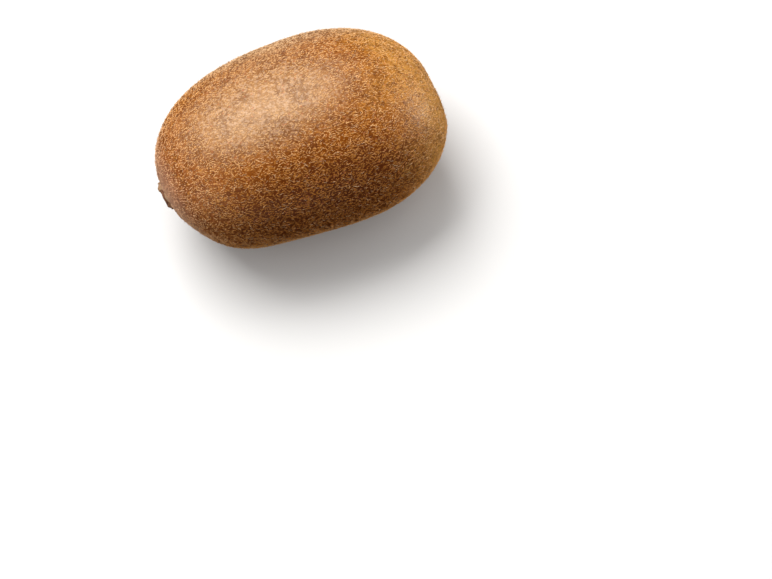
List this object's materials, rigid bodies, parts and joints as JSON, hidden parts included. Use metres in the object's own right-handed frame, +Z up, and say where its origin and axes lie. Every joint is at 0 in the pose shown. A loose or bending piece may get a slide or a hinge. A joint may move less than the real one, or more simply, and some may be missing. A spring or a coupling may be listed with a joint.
{
  "type": "golden kiwi fruit",
  "caption": "Whole golden kiwi fruit with smooth brown skin, a dried calyx at the stem end and dried styles at the blunt blossom end, lying on its side.",
  "frame": {"origin": "on the flat resting spot of the underside, straight below the middle of the fruit's weight", "axes": "+X along the fruit from the stem end to the blossom end, +Z up as the fruit lies, +Y across it"},
  "size_m": [0.0775, 0.0517, 0.0494],
  "materials": {
    "skin": "thin brown fruit skin, satin, covered in fine pale corky specks",
    "dried_calyx": "dry woody stalk scar and withered sepals, matte",
    "dried_styles": "dry woody button and withered styles, matte"
  },
  "bodies": {
    "root": {"fruit": "skin", "calyx": "dried_calyx", "dried_styles": "dried_styles"}
  },
  "joints": []
}
